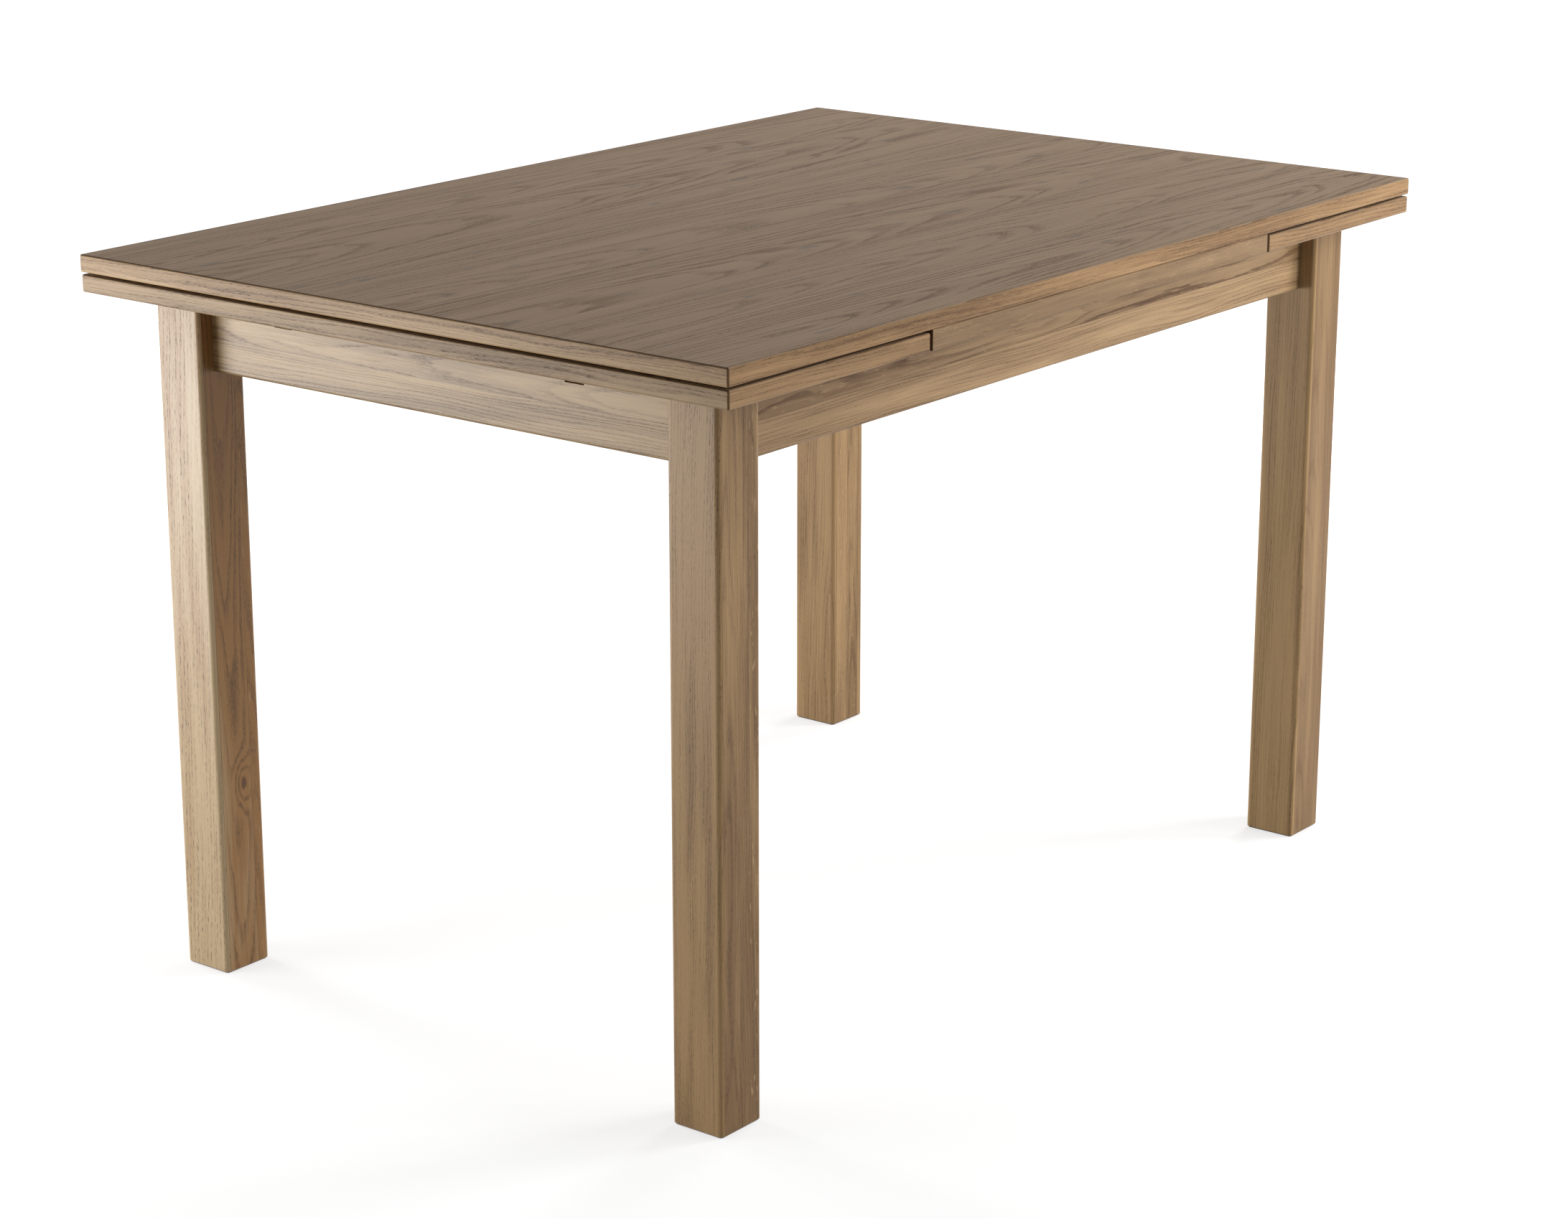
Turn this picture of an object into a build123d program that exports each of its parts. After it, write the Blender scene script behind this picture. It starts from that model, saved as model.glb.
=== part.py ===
"""Draw-leaf dining table in oak, closed.

Millimetres, +Z up, origin on the floor under the middle of the table.
+X runs along the length. Left is -X, right is +X, front is -Y, back is +Y.
"""
import os
from math import sqrt

from build123d import *

os.makedirs("parts", exist_ok=True)

# Overall size of the closed table.
table_length = 1200.0
table_width = 825.0
table_height = 755.0

# Boards: the main top, the two draw leaves and the fixed centre board between them.
top_thickness = 18.0
leaf_thickness = 18.0
leaf_gap = 2.2
leaf_length = 297.0
leaf_end_inset = 1.0
leaf_side_inset = 0.5
centre_slot = 3.5
veneer_thickness = 1.0
lipping_width = 12.0
board_arris = 2.0
centre_arris = 1.0

# Legs and aprons.
leg_section = 60.0
leg_end_inset = 50.0
leg_side_inset = 52.0
leg_arris = 5.0
foot_chamfer = 2.0
apron_setback = 19.0
apron_height = 78.0
apron_thickness = 22.0
apron_arris = 3.0

# Lopers: two bars under each leaf. Those of the two leaves pass side by side.
loper_width = 22.0
loper_depth = 20.5
loper_near = 176.0
loper_far = 200.5
loper_recess = 2.0
loper_relief = 0.4
loper_relief_start = 5.0
near_loper_play = 1.4
far_loper_play = 0.5
notch_clearance = 0.75
draw_clearance = 2.0
stop_radius = 4.0
stop_set = 12.0
stop_reach = 12.0
stop_clearance = 0.5

# Cross rails that carry the centre board and guide the lopers.
rail_offset = 190.0
rail_thickness = 28.0
rail_height = 57.0
rail_clearance = 0.5

# Pegs that keep the loose main top in place and let it lift.
peg_radius = 12.0
peg_offset = 120.0
peg_set = 10.0
peg_clearance = 0.6
peg_lift = 34.0
peg_washer_radius = 22.0
peg_washer_thickness = 2.5

# Felt slips between the main top and the leaves.
felt_width = 16.0
felt_length = 198.0
felt_offset_y = 260.0
felt_end_inset = 60.0

# Corner blocks behind the legs.
block_near = 22.0
block_far = 64.0
block_height = 52.0
block_lift = 12.0

# Fasteners.
fit_gap = 0.3
bolt_radius = 4.0
bolt_in_leg = 40.0
bolt_tail = 14.0
bolt_spread = 26.0
washer_radius = 12.0
washer_thickness = 1.6
nut_across_flats = 13.0
nut_height = 6.5
screw_radius = 2.0
screw_head_radius = 4.0
screw_head_height = 2.6
block_screw_length = 26.0
block_screw_seat = 12.0
block_screw_place = 48.0
loper_screw_length = 30.0
loper_screw_margin = 34.0
rail_screw_length = 50.0
rail_screw_bite = 15.0
rail_screw_margin = 50.5
peg_screw_length = 30.0
dowel_radius = 4.0
dowel_length = 30.0
dowel_in_apron = 12.0
dowel_spread = 30.0

# Levels and faces that follow from the sizes above.
half_length = table_length / 2
half_width = table_width / 2
top_under = table_height - top_thickness
leaf_top = top_under - leaf_gap
frame_top = leaf_top - leaf_thickness
leaf_outer = half_length - leaf_end_inset
leaf_inner = leaf_outer - leaf_length
leaf_half_width = half_width - leaf_side_inset
leaf_draw = leaf_length + leaf_end_inset + draw_clearance
centre_half = leaf_inner - centre_slot
leg_outer_x = half_length - leg_end_inset
leg_outer_y = half_width - leg_side_inset
leg_inner_x = leg_outer_x - leg_section
leg_inner_y = leg_outer_y - leg_section
apron_face_x = leg_outer_x - apron_setback
apron_face_y = leg_outer_y - apron_setback
apron_back_x = apron_face_x - apron_thickness
apron_back_y = apron_face_y - apron_thickness
apron_under = frame_top - apron_height
loper_under = frame_top - loper_depth
loper_outer = apron_face_x - loper_recess
rail_under = frame_top - rail_height
rail_notch_under = loper_under - rail_clearance
block_under = apron_under + block_lift
block_mid = block_under + block_height / 2
peg_under = frame_top - peg_lift
nut_radius = nut_across_flats / sqrt(3)

ENDS = (("left", -1), ("right", 1))
SIDES = (("front", -1), ("back", 1))
CORNERS = [(end, sx, side, sy) for end, sx in ENDS for side, sy in SIDES]
FROM_START = (Align.CENTER, Align.CENTER, Align.MIN)


def slab(x0, x1, y0, y1, z0, z1, mode=Mode.ADD):
    """A square-edged block between two opposite corners."""
    with Locations(((x0 + x1) / 2, (y0 + y1) / 2, (z0 + z1) / 2)):
        Box(abs(x1 - x0), abs(y1 - y0), abs(z1 - z0), mode=mode)


def prism(points, z0, z1, mode=Mode.ADD):
    """An upright block with a polygon as its plan."""
    with BuildSketch(Plane.XY.offset(z0)) as plan:
        with BuildLine():
            Polyline(*points, close=True)
        make_face()
    extrude(plan.sketch, amount=z1 - z0, mode=mode)


def rod(start, direction, radius, length, mode=Mode.ADD):
    """A round bar that begins at a point and runs along a direction."""
    with Locations(Plane(origin=start, z_dir=direction)):
        Cylinder(radius, length, align=FROM_START, mode=mode)


def screw(start, direction, length):
    """A countersunk wood screw, its head face at the start."""
    rod(start, direction, screw_radius, length)
    with Locations(Plane(origin=start, z_dir=direction)):
        Cone(screw_head_radius, screw_radius, screw_head_height, align=FROM_START)


def screw_hole(start, direction, length, access=0.0):
    """The hole for a screw, with a wider bore back from its head where access is given."""
    rod(start, direction, screw_radius + fit_gap, length + fit_gap, Mode.SUBTRACT)
    back = Vector(*start) - Vector(*direction).normalized() * access
    bore = access + screw_head_height + fit_gap
    rod(tuple(back), direction, screw_head_radius + fit_gap, bore, Mode.SUBTRACT)


def eased_board(x0, x1, y0, y1, z0, z1, radius):
    """A whole board with every outer arris eased."""
    slab(x0, x1, y0, y1, z0, z1)
    fillet(edges(), radius)


def save(part, label):
    """Name a piece and write its own file."""
    part.label = label
    export_step(part, f"parts/{label}.step")


def corner_point(sx, sy, u, v, z):
    """A point measured inwards from the inner faces of the two aprons at a corner."""
    return (sx * (apron_back_x - u), sy * (apron_back_y - v), z)


def loper_centres(end):
    """The two loper places under one leaf, as (side, y)."""
    if end == "left":
        return (("front", -loper_near), ("back", loper_far))
    return (("front", -loper_far), ("back", loper_near))


def bolt_heights():
    """The two levels of bolts and screws at every corner."""
    return (block_mid - bolt_spread / 2, block_mid + bolt_spread / 2)


def block_screw_seats(sx, sy):
    """Head place and direction of each screw that holds one corner block."""
    seats = []
    for z in bolt_heights():
        to_end = corner_point(sx, sy, block_screw_seat, block_screw_place, z)
        to_side = corner_point(sx, sy, block_screw_place, block_screw_seat, z)
        seats.append((to_end, (sx, 0, 0)))
        seats.append((to_side, (0, sy, 0)))
    return seats


def bolt_axis(sx, sy, w, z):
    """A point on the diagonal of a corner, w from where the aprons' inner faces meet."""
    return corner_point(sx, sy, w / sqrt(2), w / sqrt(2), z)


block_front = block_near / sqrt(2)
block_rear = block_far / sqrt(2)
bolt_start = block_front - bolt_in_leg
bolt_length = bolt_in_leg + (block_rear - block_front) + bolt_tail


# Legs: square oak posts with rounded arrises. The inner corner is planed flat for its block.
for end, sx, side, sy in CORNERS:
    with BuildPart() as leg:
        slab(sx * leg_inner_x, sx * leg_outer_x, sy * leg_inner_y, sy * leg_outer_y, 0, frame_top)
        fillet(leg.edges().filter_by(Axis.Z), leg_arris)
        chamfer(leg.faces().sort_by(Axis.Z)[0].edges(), foot_chamfer)
        beyond = ((0, block_near), (block_near, 0), (leg_section, leg_section))
        flat = [corner_point(sx, sy, u, v, 0)[:2] for u, v in beyond]
        prism(flat, block_under, block_under + block_height, Mode.SUBTRACT)
        for z in bolt_heights():
            rod(bolt_axis(sx, sy, block_front, z), (sx, sy, 0), bolt_radius + fit_gap,
                bolt_in_leg + fit_gap, Mode.SUBTRACT)
    save(leg.part, f"leg_{end}_{side}")

# Long aprons between the legs, set back from their outer faces.
for side, sy in SIDES:
    with BuildPart() as apron:
        slab(-leg_inner_x, leg_inner_x, sy * apron_back_y, sy * apron_face_y, apron_under, frame_top)
        fillet(apron.faces().sort_by(Axis.Z)[0].edges().filter_by(Axis.X), apron_arris)
        for end, sx in ENDS:
            for start, direction in block_screw_seats(sx, sy):
                if direction[1]:
                    screw_hole(start, direction, block_screw_length)
            for dz in (-dowel_spread / 2, dowel_spread / 2):
                at = (sx * rail_offset, sy * apron_back_y, frame_top - rail_height / 2 + dz)
                rod(at, (0, sy, 0), dowel_radius + fit_gap, dowel_in_apron + fit_gap, Mode.SUBTRACT)
    save(apron.part, f"apron_{side}")

# End aprons, notched from above where the lopers of their own leaf come through.
for end, sx in ENDS:
    with BuildPart() as apron:
        slab(sx * apron_back_x, sx * apron_face_x, -leg_inner_y, leg_inner_y, apron_under, frame_top)
        fillet(apron.faces().sort_by(Axis.Z)[0].edges().filter_by(Axis.Y), apron_arris)
        for side, y in loper_centres(end):
            half = loper_width / 2 + notch_clearance
            depth = loper_depth + (near_loper_play if abs(y) < loper_far else far_loper_play)
            slab(sx * apron_back_x, sx * apron_face_x, y - half, y + half,
                 frame_top - depth, frame_top, Mode.SUBTRACT)
        for side, sy in SIDES:
            for start, direction in block_screw_seats(sx, sy):
                if direction[0]:
                    screw_hole(start, direction, block_screw_length)
    save(apron.part, f"apron_{end}")

# Corner blocks: hardwood braces across the corners, drilled for bolts and screws.
for end, sx, side, sy in CORNERS:
    with BuildPart() as block:
        plan = ((0, block_near), (block_near, 0), (block_far, 0), (0, block_far))
        prism([corner_point(sx, sy, u, v, 0)[:2] for u, v in plan], block_under, block_under + block_height)
        for z in bolt_heights():
            rod(bolt_axis(sx, sy, block_rear, z), (sx, sy, 0), bolt_radius + fit_gap,
                block_rear - block_front, Mode.SUBTRACT)
        for start, direction in block_screw_seats(sx, sy):
            screw_hole(start, direction, block_screw_length, block_far)
    save(block.part, f"corner_block_{end}_{side}")

with BuildPart() as hanger_bolts:
    for end, sx, side, sy in CORNERS:
        for z in bolt_heights():
            rod(bolt_axis(sx, sy, bolt_start, z), (-sx, -sy, 0), bolt_radius, bolt_length)
save(hanger_bolts.part, "hanger_bolts")

with BuildPart() as bolt_washers:
    for end, sx, side, sy in CORNERS:
        for z in bolt_heights():
            seat = bolt_axis(sx, sy, block_rear, z)
            rod(seat, (-sx, -sy, 0), washer_radius, washer_thickness)
    for end, sx, side, sy in CORNERS:
        for z in bolt_heights():
            seat = bolt_axis(sx, sy, block_rear, z)
            rod(seat, (-sx, -sy, 0), bolt_radius + fit_gap, washer_thickness, Mode.SUBTRACT)
save(bolt_washers.part, "bolt_washers")

with BuildPart() as bolt_nuts:
    for end, sx, side, sy in CORNERS:
        for z in bolt_heights():
            seat = bolt_axis(sx, sy, block_rear + washer_thickness, z)
            with BuildSketch(Plane(origin=seat, x_dir=(0, 0, 1), z_dir=(-sx, -sy, 0))):
                RegularPolygon(nut_radius, 6)
                Circle(bolt_radius + fit_gap, mode=Mode.SUBTRACT)
            extrude(amount=nut_height)
save(bolt_nuts.part, "bolt_nuts")

with BuildPart() as block_screws:
    for end, sx, side, sy in CORNERS:
        for start, direction in block_screw_seats(sx, sy):
            screw(start, direction, block_screw_length)
save(block_screws.part, "block_screws")

# Cross rails: from apron to apron under the centre board, notched for both pairs of lopers.
rail_screw_start = frame_top + rail_screw_bite - rail_screw_length
rail_screw_y = apron_back_y - rail_screw_margin
rail_screw_ys = (-rail_screw_y, 0, rail_screw_y)
pair_inner = loper_near - loper_width / 2 - rail_clearance
pair_outer = loper_far + loper_width / 2 + rail_clearance
for end, sx in ENDS:
    with BuildPart() as rail:
        x0 = sx * rail_offset - rail_thickness / 2
        x1 = sx * rail_offset + rail_thickness / 2
        slab(x0, x1, -apron_back_y, apron_back_y, rail_under, frame_top)
        for side, sy in SIDES:
            slab(x0, x1, sy * pair_inner, sy * pair_outer, rail_notch_under, frame_top, Mode.SUBTRACT)
            for dz in (-dowel_spread / 2, dowel_spread / 2):
                at = (sx * rail_offset, sy * apron_back_y, frame_top - rail_height / 2 + dz)
                depth = dowel_length - dowel_in_apron + fit_gap
                rod(at, (0, -sy, 0), dowel_radius + fit_gap, depth, Mode.SUBTRACT)
        for y in rail_screw_ys:
            screw_hole((sx * rail_offset, y, rail_screw_start), (0, 0, 1), rail_screw_length, rail_height)
    save(rail.part, f"cross_rail_{end}")

with BuildPart() as rail_dowels:
    for end, sx, side, sy in CORNERS:
        for dz in (-dowel_spread / 2, dowel_spread / 2):
            at = (sx * rail_offset, sy * (apron_back_y + dowel_in_apron), frame_top - rail_height / 2 + dz)
            rod(at, (0, -sy, 0), dowel_radius, dowel_length)
save(rail_dowels.part, "rail_dowels")

with BuildPart() as rail_screws:
    for end, sx in ENDS:
        for y in rail_screw_ys:
            screw((sx * rail_offset, y, rail_screw_start), (0, 0, 1), rail_screw_length)
save(rail_screws.part, "rail_screws")

# Centre board: fixed at leaf level, thicker than a leaf by the gap, so the main top lies on it.
with BuildPart() as centre_core:
    inner = leaf_half_width - lipping_width
    slab(-centre_half, centre_half, -inner, inner, frame_top, top_under)
    for end, sx in ENDS:
        rod((sx * peg_offset, 0, frame_top), (0, 0, 1), peg_radius + peg_clearance,
            top_under - frame_top, Mode.SUBTRACT)
        for y in rail_screw_ys:
            screw_hole((sx * rail_offset, y, rail_screw_start), (0, 0, 1), rail_screw_length)
save(centre_core.part, "centre_core")

for side, sy in SIDES:
    with BuildPart() as lipping:
        slab(-centre_half, centre_half, sy * (leaf_half_width - lipping_width), sy * leaf_half_width,
             frame_top, top_under)
        fillet(lipping.faces().sort_by(Axis.Y)[0 if sy < 0 else -1].edges().filter_by(Axis.X), centre_arris)
    save(lipping.part, f"centre_lipping_{side}")


def board_pieces(prefix, x0, x1, half_y, z0, z1):
    """Lippings and face veneer of one veneered board, mitred at the corners and eased together."""
    w = lipping_width
    glue_line = z1 - veneer_thickness
    left_front = ((x0 - w, -half_y - w), (x0 + w, w - half_y))
    right_front = ((x1 + w, -half_y - w), (x1 - w, w - half_y))
    left_back = ((x0 - w, half_y + w), (x0 + w, half_y - w))
    right_back = ((x1 + w, half_y + w), (x1 - w, half_y - w))
    mitres = {
        "front": (left_front, right_front),
        "back": (left_back, right_back),
        "left": (left_front, left_back),
        "right": (right_front, right_back),
    }
    for place, (first, last) in mitres.items():
        with BuildPart() as lipping:
            eased_board(x0, x1, -half_y, half_y, z0, z1, board_arris)
            prism((first[0], first[1], last[1], last[0]), z0 - w, glue_line, Mode.INTERSECT)
        save(lipping.part, f"{prefix}_lipping_{place}")
    with BuildPart() as veneer:
        eased_board(x0, x1, -half_y, half_y, z0, z1, board_arris)
        slab(x0, x1, -half_y, half_y, glue_line, z1, Mode.INTERSECT)
    save(veneer.part, f"{prefix}_veneer")


# Main top: a veneered board with solid oak lippings, loose on two pegs.
board_pieces("top", -half_length, half_length, half_width, top_under, table_height)

with BuildPart() as top_core:
    slab(lipping_width - half_length, half_length - lipping_width, lipping_width - half_width,
         half_width - lipping_width, top_under, table_height - veneer_thickness)
    for end, sx in ENDS:
        rod((sx * peg_offset, 0, top_under), (0, 0, 1), peg_radius + fit_gap, peg_set, Mode.SUBTRACT)
save(top_core.part, "top_core")

with BuildPart() as guide_pegs:
    for end, sx in ENDS:
        rod((sx * peg_offset, 0, peg_under), (0, 0, 1), peg_radius, top_under + peg_set - peg_under)
    for end, sx in ENDS:
        rod((sx * peg_offset, 0, peg_under), (0, 0, 1), screw_radius + fit_gap, peg_screw_length,
            Mode.SUBTRACT)
save(guide_pegs.part, "guide_pegs")

with BuildPart() as peg_washers:
    for end, sx in ENDS:
        seat = (sx * peg_offset, 0, peg_under - peg_washer_thickness)
        rod(seat, (0, 0, 1), peg_washer_radius, peg_washer_thickness)
    for end, sx in ENDS:
        seat = (sx * peg_offset, 0, peg_under - peg_washer_thickness)
        rod(seat, (0, 0, 1), screw_radius + fit_gap, peg_washer_thickness, Mode.SUBTRACT)
save(peg_washers.part, "peg_washers")

with BuildPart() as peg_screws:
    for end, sx in ENDS:
        seat = (sx * peg_offset, 0, peg_under - peg_washer_thickness)
        rod(seat, (0, 0, 1), screw_radius, peg_screw_length)
        rod(seat, (0, 0, -1), screw_head_radius, screw_head_height)
save(peg_screws.part, "peg_screws")

with BuildPart() as top_felts:
    for end, sx, side, sy in CORNERS:
        x0 = sx * (half_length - felt_end_inset)
        x1 = sx * (half_length - felt_end_inset - felt_length)
        y0 = sy * felt_offset_y - felt_width / 2
        slab(x0, x1, y0, y0 + felt_width, leaf_top, top_under)
save(top_felts.part, "top_felts")

# Draw leaves: veneered boards under the main top, each on two lopers.
for end, sx in ENDS:
    x0, x1 = sorted((sx * leaf_inner, sx * leaf_outer))
    board_pieces(f"leaf_{end}", x0, x1, leaf_half_width, frame_top, leaf_top)
    screw_xs = [sx * (loper_outer - loper_screw_margin), sx * (leaf_inner + loper_screw_margin)]
    screw_xs.append(sum(screw_xs) / 2)
    screw_seats = [(x, y, loper_under) for x in screw_xs for side, y in loper_centres(end)]
    stop_x = sx * (rail_offset - rail_thickness / 2 - leaf_draw - stop_radius - stop_clearance)

    with BuildPart() as core:
        slab(x0 + lipping_width, x1 - lipping_width, lipping_width - leaf_half_width,
             leaf_half_width - lipping_width, frame_top, leaf_top - veneer_thickness)
        for seat in screw_seats:
            screw_hole(seat, (0, 0, 1), loper_screw_length)
    save(core.part, f"leaf_{end}_core")

    for side, y in loper_centres(end):
        with BuildPart() as loper:
            slab(sx * loper_outer, -sx * apron_back_x, y - loper_width / 2, y + loper_width / 2,
                 loper_under, frame_top)
            slab(sx * (leaf_inner + loper_relief_start), -sx * apron_back_x, y - loper_width / 2,
                 y + loper_width / 2, frame_top - loper_relief, frame_top, Mode.SUBTRACT)
            for seat in screw_seats:
                if seat[1] == y:
                    screw_hole(seat, (0, 0, 1), loper_screw_length)
            rod((stop_x, y, loper_under), (0, 0, 1), stop_radius + fit_gap, stop_set, Mode.SUBTRACT)
        save(loper.part, f"loper_{end}_{side}")

    with BuildPart() as loper_screws:
        for seat in screw_seats:
            screw(seat, (0, 0, 1), loper_screw_length)
    save(loper_screws.part, f"loper_screws_{end}")

    with BuildPart() as stops:
        for side, y in loper_centres(end):
            rod((stop_x, y, loper_under - stop_reach), (0, 0, 1), stop_radius, stop_reach + stop_set)
    save(stops.part, f"loper_stops_{end}")
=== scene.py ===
import math

import bmesh
import bpy
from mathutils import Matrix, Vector


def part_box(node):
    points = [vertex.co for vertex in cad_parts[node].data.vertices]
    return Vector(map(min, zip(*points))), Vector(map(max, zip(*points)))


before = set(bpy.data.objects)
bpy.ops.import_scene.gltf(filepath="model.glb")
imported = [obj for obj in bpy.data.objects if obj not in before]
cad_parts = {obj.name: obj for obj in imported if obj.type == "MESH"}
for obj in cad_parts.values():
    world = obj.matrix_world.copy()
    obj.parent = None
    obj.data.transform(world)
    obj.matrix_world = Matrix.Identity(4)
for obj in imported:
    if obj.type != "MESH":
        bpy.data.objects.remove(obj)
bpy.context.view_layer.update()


# Legs: four square oak posts, each glued up from three or four upright staves, with rounded arrises.
# The first stave is a thin strip that makes the whole face towards the left, so that face takes a
# tone of its own, mostly paler than the faces towards the front: partly paler wood, and partly
# painted light on the left faces and painted shade on the front ones. The posts are planed, sanded
# and matt lacquered with the pores left open, and they bolt to the corner blocks.

def to_linear(colour):
    """An sRGB hex colour as the linear values that a shader takes."""
    channels = [int(colour[i:i + 2], 16) / 255 for i in (1, 3, 5)]
    return [c / 12.92 if c <= 0.04045 else ((c + 0.055) / 1.055) ** 2.4 for c in channels] + [1.0]


def add(tree, kind, inputs=None, **settings):
    """Add one node with its settings, and fill its sockets with values or links.

    Sockets go by name or by place. A Map Range has its value at 0, then from low, from high, to low
    and to high. A Mix of colours has its share at 0 and the colours at 6 and 7.
    """
    made = tree.nodes.new("ShaderNode" + kind)
    for name, value in settings.items():
        setattr(made, name, value)
    for socket, value in (inputs or {}).items():
        if isinstance(value, bpy.types.NodeSocket):
            tree.links.new(value, made.inputs[socket])
        else:
            made.inputs[socket].default_value = value
    return made.outputs


def new_finish(name, *pieces):
    """An empty material, put on every slot of the named pieces."""
    material = bpy.data.materials.new(name)
    material.use_nodes = True
    material.node_tree.nodes.clear()
    for piece in pieces:
        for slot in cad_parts[piece].material_slots:
            slot.material = material
    return material.node_tree


def along_grain(tree, axes, shift):
    """Places in millimetres, turned so that the grain runs along X, and then shifted."""
    place = add(tree, "TexCoord")["Object"]
    metres = add(tree, "SeparateXYZ", {0: place})
    turned = add(tree, "CombineXYZ", {way: metres[axis] for way, axis in enumerate(axes)})[0]
    return add(tree, "VectorMath", {0: turned, 1: (1000.0,) * 3, 2: shift},
               operation="MULTIPLY_ADD")["Vector"]


def end_grain_share(tree, grain, least, most, darkest):
    """How much end grain shows: nothing on faces along the grain, and darkest on faces across it."""
    normal = add(tree, "NewGeometry")["Normal"]
    facing = add(tree, "SeparateXYZ", {0: normal})[grain]
    facing = add(tree, "Math", {0: facing}, operation="ABSOLUTE")[0]
    return add(tree, "MapRange", {0: facing, 1: least, 2: most, 3: 0.0, 4: darkest})[0]


def lacquered_oak(piece, axes, seed, cuts=(), tones=(0.0,), painted_shade_slope=0.0, heart=(20.0, 55.0),
                  wander=(900.0, 40.0, 25.0), taper=0.02, slant=0.0, ring=3.2, band=0.4,
                  pore=4.5, pores=0.55, pale="#9a7b55", deep="#74593c", streaks=1.0, veins=(0.4,),
                  flecks=0.3, minerals=0.0, knot=None, end_grain="#5a4029", sheen=0.2, roughness=0.42):
    """Oak under matt lacquer: growth rings cut by the surface, open pores, pale ray flecks.

    axes gives the grain, the way that the staves are stacked, and the third way. seed picks the parts
    of the trunk. cuts are the glue lines, in millimetres from the middle of the piece. tones makes
    each stave deeper or paler. The painted shade slope, given for each metre, is painted light and
    shade: it makes the piece deeper towards its upper, right or back end and paler towards the other,
    where light falls less or more on it. heart is how far the middle of the trunk lies from the middle
    of a stave, and wander how much that differs from stave to stave. taper and slant lean the trunk,
    ring is the width of a year, and band the share of early wood. pore and pores are the length of the
    pores and how dark they are. streaks is how far the colour swings, and veins how dark the early
    wood is in each stave. flecks and minerals are how strong the ray flecks and the grey stains are.
    """
    low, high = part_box(piece)
    order = ["XYZ".index(axis) for axis in axes]
    middle = [(low[i] + high[i]) / 2 * 1000 for i in order]
    half = (high[order[1]] - low[order[1]]) / 2 * 1000
    tree = new_finish("matt_lacquered_oak_" + piece, piece)
    spot = along_grain(tree, axes, [-m for m in middle])
    along, across, _ = add(tree, "SeparateXYZ", {0: spot})

    # Each stave comes from another part of the trunk, with a thin dark glue line between.
    glue_half_width = 0.22
    edges = (-half, *cuts, half)
    centres = [(a + b) / 2 for a, b in zip(edges, edges[1:])]
    staves = {"centre": centres}
    for trait, values in (("tone", tones), ("vein", veins)):
        staves[trait] = [values[i % len(values)] for i in range(len(centres))]
    own = {trait: values[0] for trait, values in staves.items()}
    stave = 0.0
    glue = 0.0
    for i, cut in enumerate(cuts):
        past = add(tree, "Math", {0: across, 1: cut}, operation="GREATER_THAN")[0]
        stave = add(tree, "Math", {0: past, 1: stave}, operation="ADD")[0]
        for trait, values in staves.items():
            step = values[i + 1] - values[i]
            own[trait] = add(tree, "Math", {0: past, 1: step, 2: own[trait]}, operation="MULTIPLY_ADD")[0]
        line = add(tree, "Math", {0: across, 1: cut, 2: glue_half_width}, operation="COMPARE")[0]
        glue = add(tree, "Math", {0: line, 1: glue}, operation="MAXIMUM")[0]
    draw = add(tree, "Math", {0: stave, 1: seed}, operation="ADD")[0]
    chance = add(tree, "TexWhiteNoise", {"W": draw}, noise_dimensions="1D")
    nearest = [h - w for h, w in zip((0.0, *heart), wander)]
    shift = add(tree, "VectorMath", {0: chance["Color"], 1: [2 * w for w in wander], 2: nearest},
                operation="MULTIPLY_ADD")["Vector"]
    offset = add(tree, "CombineXYZ", {1: own["centre"]})[0]
    local = add(tree, "VectorMath", {0: spot, 1: offset}, operation="SUBTRACT")["Vector"]
    trunk = add(tree, "VectorMath", {0: local, 1: shift}, operation="ADD")["Vector"]

    # Noise in real sizes: along the grain, then the two ways across it. Pores are drawn 0.3 to 0.5 mm
    # wide and fibres 0.9 mm, coarser than the real ones, because finer ones don't show in the picture.
    pore_width = pore / 12
    noise = {}
    for pattern, size, detail in (
        ("bend", (230.0, 42.0, 42.0), 1.0),
        ("tone", (300.0, 16.0, 16.0), 2.0),
        ("fibre", (50.0, 0.9, 0.9), 2.0),
        ("pore", (pore, pore_width, pore_width), 1.0),
        ("tip", (35.0, 3.0, 3.0), 1.0),
        ("fleck", (14.0, 3.0, 3.0), 1.0),
        ("mineral", (60.0, 13.0, 13.0), 1.0),
    ):
        scaled = add(tree, "VectorMath", {0: trunk, 1: size}, operation="DIVIDE")["Vector"]
        noise[pattern] = add(tree, "TexNoise", {"Vector": scaled, "Scale": 1.0, "Detail": detail})

    # Growth rings round a heart that leans and wanders, so that a flat cut shows pointed arches. Spells
    # of good and bad years, about three rings long, spread the rings, and their edges are ragged.
    bend_reach = 15.0
    spells_per_ring = 0.35
    spell_spread = 2.2
    ragged_edge = 0.5
    bent = add(tree, "VectorMath", {0: noise["bend"]["Color"], 1: (0.0, bend_reach, bend_reach), 2: trunk},
               operation="MULTIPLY_ADD")["Vector"]
    ways = add(tree, "SeparateXYZ", {0: bent})
    leaning = add(tree, "Math", {0: ways["X"], 1: taper, 2: ways["Z"]}, operation="MULTIPLY_ADD")[0]
    slanting = add(tree, "Math", {0: ways["X"], 1: slant, 2: ways["Y"]}, operation="MULTIPLY_ADD")[0]
    spoke = add(tree, "CombineXYZ", {1: slanting, 2: leaning})[0]
    radius = add(tree, "VectorMath", {0: spoke}, operation="LENGTH")["Value"]
    rings = add(tree, "Math", {0: radius, 1: ring}, operation="DIVIDE")[0]
    years = add(tree, "TexNoise", {"W": rings, "Scale": spells_per_ring}, noise_dimensions="1D")[0]
    rings = add(tree, "Math", {0: years, 1: spell_spread, 2: rings}, operation="MULTIPLY_ADD")[0]
    rings = add(tree, "Math", {0: noise["tip"][0], 1: ragged_edge, 2: rings}, operation="MULTIPLY_ADD")[0]

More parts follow.
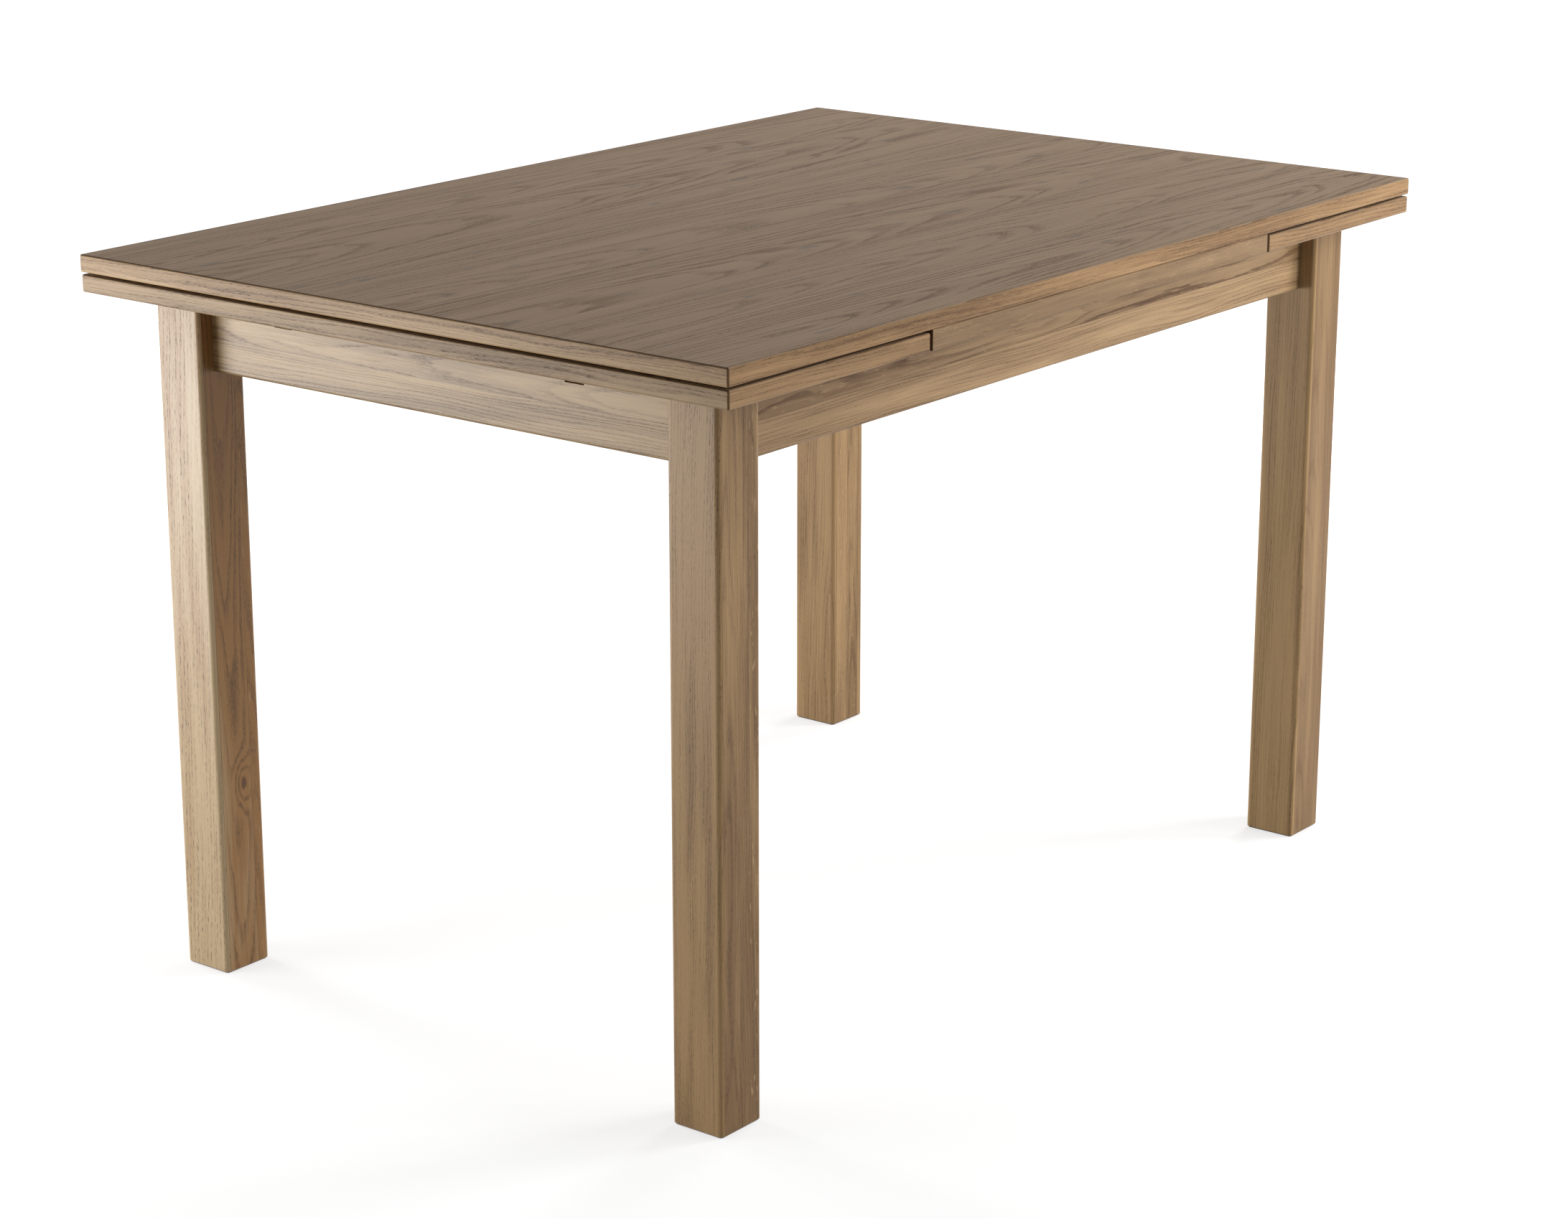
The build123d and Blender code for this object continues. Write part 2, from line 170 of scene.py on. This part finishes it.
    # A knot pushes the rings aside round its dark middle.
    heartwood = 0.0
    if knot:
        knot_reach = (26.0, 12.0, 30.0)
        rings_pushed = 3.0
        away = add(tree, "VectorMath", {0: spot, 1: [k - m for k, m in zip(knot, middle)]},
                   operation="SUBTRACT")["Vector"]
        away = add(tree, "VectorMath", {0: away, 1: knot_reach}, operation="DIVIDE")["Vector"]
        near = add(tree, "VectorMath", {0: away, 1: away}, operation="DOT_PRODUCT")["Value"]
        near = add(tree, "Math", {0: near, 1: -1.0}, operation="MULTIPLY")[0]
        swell = add(tree, "Math", {0: near}, operation="EXPONENT")[0]
        rings = add(tree, "Math", {0: swell, 1: rings_pushed, 2: rings}, operation="MULTIPLY_ADD")[0]
        heartwood = add(tree, "MapRange", {0: swell, 1: 0.9, 2: 0.98}, interpolation_type="SMOOTHSTEP")[0]

    # Early wood starts each ring at once and fades into late wood over the band's share of it.
    phase = add(tree, "Math", {0: rings}, operation="FRACT")[0]
    fading = add(tree, "MapRange", {0: phase, 1: 0.03, 2: band, 3: 1.0, 4: 0.0},
                 interpolation_type="SMOOTHSTEP")[0]
    rising = add(tree, "MapRange", {0: phase, 1: 0.92, 2: 1.0}, interpolation_type="SMOOTHSTEP")[0]
    early = add(tree, "Math", {0: fading, 1: rising}, operation="MAXIMUM")[0]

    # Pores crowd into the early wood of each ring, more in some patches than in others. Flecks lie in
    # some staves only.
    late_pores = 0.2
    fleckless_staves = 0.45
    open_pores = add(tree, "MapRange", {0: noise["pore"][0], 1: 0.53, 2: 0.6, 3: 0.0, 4: pores})[0]
    patch = add(tree, "MapRange", {0: noise["tone"][0], 1: 0.35, 2: 0.65, 3: 0.3, 4: 1.4})[0]
    crowd = add(tree, "Math", {0: early, 1: 1 - late_pores, 2: late_pores}, operation="MULTIPLY_ADD")[0]
    crowd = add(tree, "Math", {0: crowd, 1: patch}, operation="MULTIPLY", use_clamp=True)[0]
    open_pores = add(tree, "Math", {0: open_pores, 1: crowd}, operation="MULTIPLY")[0]
    rays = add(tree, "MapRange", {0: noise["fleck"][0], 1: 0.66, 2: 0.72, 3: 0.0, 4: flecks})[0]
    picked = add(tree, "Math", {0: chance["Value"], 1: fleckless_staves}, operation="GREATER_THAN")[0]
    rays = add(tree, "Math", {0: rays, 1: picked}, operation="MULTIPLY")[0]
    stain = add(tree, "MapRange", {0: noise["mineral"][0], 1: 0.68, 2: 0.76, 3: 0.0, 4: minerals})[0]

    # Colour goes from pale to deep in broad bands and fine fibres, and from stave to stave. All three
    # lie round a half, so half of their sum is taken off, and the tone lies round a half too.
    swings = ((noise["tone"][0], 2.2), (noise["fibre"][0], 1.2), (chance["Value"], 0.3))
    # Painted light and shade: the tone slopes along the piece, deeper or paler for each metre, where light
    # falls less or more on it.
    tone = add(tree, "Math", {0: along, 1: painted_shade_slope / 1000, 2: own["tone"]}, operation="MULTIPLY_ADD")[0]
    for source, swing in swings:
        tone = add(tree, "Math", {0: source, 1: swing * streaks, 2: tone}, operation="MULTIPLY_ADD")[0]
    usual = sum(swing for _, swing in swings) / 2 * streaks
    tone = add(tree, "Math", {0: tone, 1: usual - 0.5}, operation="SUBTRACT", use_clamp=True)[0]
    wood = add(tree, "Mix", {0: tone, 6: to_linear(pale), 7: to_linear(deep)}, data_type="RGBA")[2]
    vein = add(tree, "Math", {0: patch, 1: own["vein"]}, operation="MULTIPLY")[0]
    vein = add(tree, "Math", {0: early, 1: vein}, operation="MULTIPLY", use_clamp=True)[0]
    ends = end_grain_share(tree, axes[0], 0.1, 0.4, 0.85)
    for amount, colour in ((vein, "#573a20"), (open_pores, "#422f1f"), (rays, "#ae9168"), (stain, "#5f5953"),
                           (glue, "#5e452d"), (ends, end_grain), (heartwood, "#57391f")):
        wood = add(tree, "Mix", {0: amount, 6: wood, 7: to_linear(colour)}, data_type="RGBA")[2]

    # The lacquer is thin: it sinks into the pores and dulls them, and the light catches their rims.
    pore_depth = 0.0002
    dull = add(tree, "Math", {0: open_pores, 1: 0.15, 2: roughness}, operation="MULTIPLY_ADD")[0]
    dips = add(tree, "Math", {0: early, 1: 0.4, 2: open_pores}, operation="MULTIPLY_ADD")[0]
    relief = add(tree, "Bump", {"Height": dips, "Strength": 0.25, "Distance": pore_depth},
                 invert=True)["Normal"]
    shader = add(tree, "BsdfPrincipled", {"Base Color": wood, "Roughness": dull, "Normal": relief,
                                          "Specular IOR Level": sheen, "IOR": 1.5})["BSDF"]
    add(tree, "OutputMaterial", {"Surface": shader})


# Glue lines and tones differ from leg to leg. The tones of the staves are partly painted light and
# shade on the faces, and the slope along a leg is painted shade: darker towards the top of the back
# left leg, and towards the foot of the front left one. The back left one has a knot low on its front face.
leg_knot = (202.0, -516.0, 300.5)
lacquered_oak("leg_left_back", "ZXY", seed=11.0, cuts=(-25.5, 15.0), tones=(-0.35, 0.8, 0.9), painted_shade_slope=1.0,
              heart=(0.0, 45.0), wander=(900.0, 8.0, 10.0), taper=0.05, ring=5.0, band=0.5, pore=5.0,
              pores=0.8, pale="#a8916f", deep="#8a6439", veins=(0.05, 0.45, 0.2), knot=leg_knot, sheen=0.42)
lacquered_oak("leg_left_front", "ZXY", seed=23.0, cuts=(-25.5, 12.5), tones=(-0.3, 0.35, 0.3), painted_shade_slope=-0.45,
              pores=0.8, pale="#a08159", deep="#735737", veins=(0.15, 0.35, 0.3), flecks=0.55, sheen=0.3)
lacquered_oak("leg_right_front", "ZXY", seed=37.0, cuts=(-24.5, 16.0), tones=(-0.35, 0.3, 0.35),
              pores=0.4, pale="#a68860", streaks=0.5, veins=(0.2,), flecks=0.2)
lacquered_oak("leg_right_back", "ZXY", seed=41.0, cuts=(-24.0, -2.5, 19.5), tones=(-0.3, -0.3, -0.2, 0.1),
              pores=0.5, pale="#a3845e", deep="#7a6041", veins=(0.2, 0.25, 0.3, 0.2), flecks=0.5)


# Aprons: oak rails set back between the legs, each glued up from two boards laid edge to edge.
# In the long ones the upper board is crown cut with dark arches, and the lower one is paler.
# The end ones have notches for the lopers. Corner blocks hold the aprons together.
apron_glue = (-4.8,)
apron_heart = (8.0, 28.0)
apron_wander = (900.0, 30.0, 8.0)
# The long aprons grow paler towards the right and the end ones darker towards the back: painted light and
# painted shade.
for side, seed in (("front", 28.0), ("back", 469.0)):
    lacquered_oak(f"apron_{side}", "XZY", seed, cuts=apron_glue, tones=(-0.05, 0.25), painted_shade_slope=-0.4,
                  heart=apron_heart, wander=apron_wander, taper=0.008, ring=3.4,
                  pale="#aa8d69", deep="#80664a", veins=(0.3, 0.75))
for end, seed in (("left", 232.0), ("right", 28.0)):
    lacquered_oak(f"apron_{end}", "YZX", seed, cuts=apron_glue, painted_shade_slope=0.5, heart=apron_heart,
                  wander=apron_wander, pale="#ab8f66", deep="#816741", streaks=1.3, sheen=0.35)


# Corner blocks: beech braces across the corners under the table, screwed to the aprons.
# Two hanger bolts in each leg pass through a block, and a washer and nut pull the leg tight.

def planed_beech(piece, axes, seed):
    """Beech, planed and left bare: even pinkish tan with short brown ray flecks, dull all over."""
    tree = new_finish("planed_beech_" + piece, piece)
    spot = along_grain(tree, axes, (seed, seed, seed))
    noise = {}
    for pattern, size, detail in (("band", (300.0, 14.0, 14.0), 2.0), ("fleck", (4.0, 0.9, 0.9), 0.0)):
        scaled = add(tree, "VectorMath", {0: spot, 1: size}, operation="DIVIDE")["Vector"]
        noise[pattern] = add(tree, "TexNoise", {"Vector": scaled, "Scale": 1.0, "Detail": detail})[0]
    band = add(tree, "MapRange", {0: noise["band"], 1: 0.3, 2: 0.7})[0]
    flecks = add(tree, "MapRange", {0: noise["fleck"], 1: 0.62, 2: 0.7, 3: 0.0, 4: 0.55})[0]
    ends = end_grain_share(tree, axes[0], 0.4, 0.9, 0.5)
    wood = add(tree, "Mix", {0: band, 6: to_linear("#c8a27b"), 7: to_linear("#b48c63")}, data_type="RGBA")[2]
    for amount, colour in ((flecks, "#8a6240"), (ends, "#8d6a48")):
        wood = add(tree, "Mix", {0: amount, 6: wood, 7: to_linear(colour)}, data_type="RGBA")[2]
    fleck_depth = 0.0001
    relief = add(tree, "Bump", {"Height": flecks, "Strength": 0.15, "Distance": fleck_depth},
                 invert=True)["Normal"]
    shader = add(tree, "BsdfPrincipled", {"Base Color": wood, "Roughness": 0.62, "Normal": relief,
                                          "Specular IOR Level": 0.25, "IOR": 1.5})["BSDF"]
    add(tree, "OutputMaterial", {"Surface": shader})


for corner, seed in (("left_front", 43.0), ("left_back", 40.0), ("right_front", 50.0), ("right_back", 47.0)):
    planed_beech(f"corner_block_{corner}", "XYZ", seed)


# Fasteners: hanger bolts with washers and nuts at the legs, and screws in the blocks, rails, lopers
# and guide pegs. They are steel with bright zinc plate, which looks grey with a faint blue cast in
# clouds, and has a soft shine.
zinc_cloud_width = 6.0
zinc_tree = new_finish("bright_zinc_plate", "hanger_bolts", "bolt_washers", "bolt_nuts", "block_screws",
                       "rail_screws", "peg_washers", "peg_screws", "loper_screws_left", "loper_screws_right")
zinc_place = add(zinc_tree, "TexCoord")["Object"]
zinc_cloud = add(zinc_tree, "TexNoise", {"Vector": zinc_place, "Scale": 1000 / zinc_cloud_width,
                                         "Detail": 3.0})[0]
zinc_colour = add(zinc_tree, "Mix", {0: zinc_cloud, 6: to_linear("#b9bcc0"), 7: to_linear("#9a9a96")},
                  data_type="RGBA")[2]
zinc_dull = add(zinc_tree, "MapRange", {0: zinc_cloud, 1: 0.3, 2: 0.7, 3: 0.28, 4: 0.45})[0]
zinc_shader = add(zinc_tree, "BsdfPrincipled", {"Base Color": zinc_colour, "Roughness": zinc_dull,
                                                "Metallic": 1.0})["BSDF"]
add(zinc_tree, "OutputMaterial", {"Surface": zinc_shader})


# Cross rails: two beech rails from apron to apron, dowelled at their ends.
# They carry the centre board and have notches that guide the lopers.
for end, seed in (("left", 5.0), ("right", 91.0)):
    planed_beech(f"cross_rail_{end}", "YXZ", seed)
planed_beech("rail_dowels", "YXZ", 17.0)


# Centre board: a fixed board between the two leaves, of particle board with a plain oak veneer and
# with oak lippings in front and behind. It is screwed up through the cross rails, and the main top
# lies on it.
backing_veneer = dict(heart=(0.0, 30.0), taper=0.03, ring=4.5, sheen=0.15, roughness=0.6)
for side, seed in (("front", 74.0), ("back", 79.0)):
    lacquered_oak(f"centre_lipping_{side}", "XZY", seed, taper=0.004, pale="#927859", deep="#70583f",
                  veins=(0.25,))
lacquered_oak("centre_core", "XYZ", seed=83.0, cuts=(-210.0, -70.0, 70.0, 210.0), **backing_veneer)


# Draw leaves: veneered boards with mitred oak lippings, held under the main top at each end.
# Each is screwed to two beech lopers that slide through the end apron and the cross rails.
# The face is crown cut veneer in six strips along the table, and the back is a plain one.
veneer_joints = (-278.0, -163.0, -28.0, 112.0, 277.0)
face_veneer = dict(cuts=veneer_joints, heart=(0.0, 45.0), wander=(500.0, 45.0, 30.0), taper=0.05, ring=5.5,
                   band=0.45, pore=3.5, pores=0.8, pale="#9a8269", deep="#816a52", streaks=0.4,
                   veins=(0.4, 0.25, 0.4, 0.2, 0.35, 0.3), flecks=0.0, minerals=0.6, end_grain="#3b2a1c",
                   sheen=0.12, roughness=0.55)
# Lippings are cut near the quarter, so that their lines run straight at a slight slant.
lipping = dict(heart=(40.0, 40.0), wander=(900.0, 12.0, 12.0), taper=0.002, slant=0.012, streaks=1.2)
end_pores = dict(pore=6.0, pores=0.8)
long_pores = dict(pore=5.0, pores=0.75)
for end, seed in (("left", 110.0), ("right", 140.0)):
    lacquered_oak(f"leaf_{end}_veneer", "XYZ", seed, **face_veneer)
    lacquered_oak(f"leaf_{end}_core", "XYZ", seed + 9.0, cuts=veneer_joints, **backing_veneer)
    for place, step in (("left", 11.0), ("right", 13.0)):
        lacquered_oak(f"leaf_{end}_lipping_{place}", "YZX", seed + step, pale="#9c815d", deep="#755c3d",
                      **end_pores, **lipping)
    for place, step in (("front", 15.0), ("back", 17.0)):
        lacquered_oak(f"leaf_{end}_lipping_{place}", "XZY", seed + step, pale="#9a7b58", deep="#73593e",
                      **long_pores, **lipping)
    for side, step in (("front", 1.0), ("back", 2.0)):
        planed_beech(f"loper_{end}_{side}", "XYZ", seed + step)
    planed_beech(f"loper_stops_{end}", "ZXY", seed + 3.0)


# Main top: one loose board with the same veneer and mitred oak lippings, under a flat matt lacquer.
# It lies on the centre board, and two beech pegs under it keep it in place and let it lift.
# The top's veneer grows paler towards the right: painted light.
lacquered_oak("top_veneer", "XYZ", seed=170.0, painted_shade_slope=-0.2, **face_veneer)
lacquered_oak("top_core", "XYZ", seed=181.0, cuts=veneer_joints, **backing_veneer)
for place, seed in (("left", 192.0), ("right", 194.0)):
    lacquered_oak(f"top_lipping_{place}", "YZX", seed, pale="#b4966f", deep="#8a6c47",
                  **end_pores, **lipping)
# The long lippings of the top grow paler towards the right: painted light.
for place, seed in (("front", 196.0), ("back", 198.0)):
    lacquered_oak(f"top_lipping_{place}", "XZY", seed, painted_shade_slope=-0.2, pale="#a8865f", deep="#7f6243",
                  **long_pores, **lipping)
planed_beech("guide_pegs", "ZXY", 33.0)


# Felt slips: pressed wool felt, glued under the main top, over the leaves that slide out beneath it.
# It is near black and quite dull, with hairs that are drawn about 1 mm wide so that they show.
felt_hair_width = 1.0
felt_nap_depth = 0.0004
felt_tree = new_finish("pressed_wool_felt", "top_felts")
felt_place = add(felt_tree, "TexCoord")["Object"]
felt_hair = add(felt_tree, "TexNoise", {"Vector": felt_place, "Scale": 1000 / felt_hair_width,
                                        "Detail": 4.0})[0]
felt_colour = add(felt_tree, "Mix", {0: felt_hair, 6: to_linear("#2c2a28"), 7: to_linear("#4a4642")},
                  data_type="RGBA")[2]
felt_nap = add(felt_tree, "Bump", {"Height": felt_hair, "Strength": 0.5,
                                   "Distance": felt_nap_depth})["Normal"]
felt_shader = add(felt_tree, "BsdfPrincipled", {"Base Color": felt_colour, "Roughness": 0.95,
                                                "Normal": felt_nap, "Sheen Weight": 0.3})["BSDF"]
add(felt_tree, "OutputMaterial", {"Surface": felt_shader})


# Floor: a plain sheet of white studio board under the table. The camera sees it white, with the
# table's soft shadow on it, and it throws little light back on the table.

def seen_directly(tree):
    """1 for a ray that shows the studio itself: to the camera, in a reflection or through glass."""
    rays = add(tree, "LightPath")
    seen = add(tree, "Math", {0: rays["Is Camera Ray"], 1: rays["Is Glossy Ray"]}, operation="MAXIMUM")[0]
    return add(tree, "Math", {0: seen, 1: rays["Is Transmission Ray"]}, operation="MAXIMUM")[0]


floor_half_side = 15.0
floor_mesh = bpy.data.meshes.new("studio_floor")
floor_shape = bmesh.new()
bmesh.ops.create_grid(floor_shape, x_segments=1, y_segments=1, size=floor_half_side)
floor_shape.to_mesh(floor_mesh)
floor_shape.free()
floor = bpy.data.objects.new("studio_floor", floor_mesh)
bpy.context.scene.collection.objects.link(floor)

# Past the lamps, 2 to 3 m away, the board gets less of their light, so its own white is raised there.
floor_raised_from = 1.7
floor_raised_to = 2.4
floor_tree = new_finish("white_studio_board")
floor_mesh.materials.append(bpy.data.materials["white_studio_board"])
floor_grey = add(floor_tree, "BsdfDiffuse", {"Color": to_linear("#8c8c8c")})[0]
floor_white = add(floor_tree, "BsdfDiffuse", {"Color": to_linear("#a0a0a0")})[0]
floor_place = add(floor_tree, "TexCoord")["Object"]
floor_reach = add(floor_tree, "VectorMath", {0: floor_place}, operation="LENGTH")["Value"]
floor_level = add(floor_tree, "MapRange", {0: floor_reach, 1: floor_raised_from, 2: floor_raised_to,
                                           3: 0.66, 4: 0.96})[0]
floor_lift = add(floor_tree, "Emission", {"Color": to_linear("#ffffff"), "Strength": floor_level})[0]
floor_bright = add(floor_tree, "AddShader", {0: floor_white, 1: floor_lift})[0]
floor_seen = seen_directly(floor_tree)
floor_shader = add(floor_tree, "MixShader", {0: floor_seen, 1: floor_grey, 2: floor_bright})[0]
add(floor_tree, "OutputMaterial", {"Surface": floor_shader})


# Studio light: soft boxes behind the table, at its right and in front, and a low strip light at the
# left that puts a sheen on the left end. Weak light comes from all round, off white walls.
wall_light = 0.44
wall_white = 1.0
world = bpy.data.worlds.new("white_studio")
bpy.context.scene.world = world
world.use_nodes = True
world_tree = world.node_tree
world_tree.nodes.clear()
world_level = add(world_tree, "MapRange", {0: seen_directly(world_tree), 3: wall_light, 4: wall_white})[0]
world_light = add(world_tree, "Background", {"Color": to_linear("#ffffff"), "Strength": world_level})[0]
add(world_tree, "OutputWorld", {"Surface": world_light})

# Only the strip light shows in the lacquer. The other boxes would lie on the top as a glare.
table_middle = (0.0, 0.0, 0.5)
for name, stand, aim, width, height, watts in (
    ("back_soft_box", (-0.26, 2.99, 0.75), table_middle, 1.0, 1.0, 70.0),
    ("left_strip_light", (-1.655, 1.293, 0.32), (-0.2, 0.1, 0.45), 1.2, 0.5, 29.0),
    ("front_soft_box", (1.25, -2.72, 0.75), table_middle, 1.0, 1.0, 40.0),
    ("right_front_soft_box", (2.30, -1.93, 1.5), table_middle, 1.0, 1.0, 67.0),
    ("right_soft_box", (2.99, 0.26, 0.75), table_middle, 1.0, 1.0, 77.0),
):
    lamp = bpy.data.lights.new(name, "AREA")
    lamp.shape = "RECTANGLE"
    lamp.size = width
    lamp.size_y = height
    lamp.energy = watts
    soft_box = bpy.data.objects.new(name, lamp)
    soft_box.location = stand
    soft_box.rotation_euler = (Vector(aim) - Vector(stand)).to_track_quat("-Z", "Y").to_euler()
    soft_box.visible_glossy = name == "left_strip_light"
    bpy.context.scene.collection.objects.link(soft_box)
bpy.context.scene.view_settings.view_transform = "Standard"


# Camera: at the photo's viewpoint, off the left front corner of the table and about 1.45 m up, with
# the photo's heading, dip and lens.
camera_stand = (-2.9883, -2.3397, 1.4533)
camera_heading = 38.007
camera_dip = 16.591
camera_lens = bpy.data.cameras.new("camera")
camera_lens.sensor_width = 36.0
camera_lens.lens = 84.09
camera = bpy.data.objects.new("camera", camera_lens)
camera.location = camera_stand
camera.rotation_euler = (math.radians(90 - camera_dip), 0.0, math.radians(camera_heading - 90))
bpy.context.scene.collection.objects.link(camera)
bpy.context.scene.camera = camera
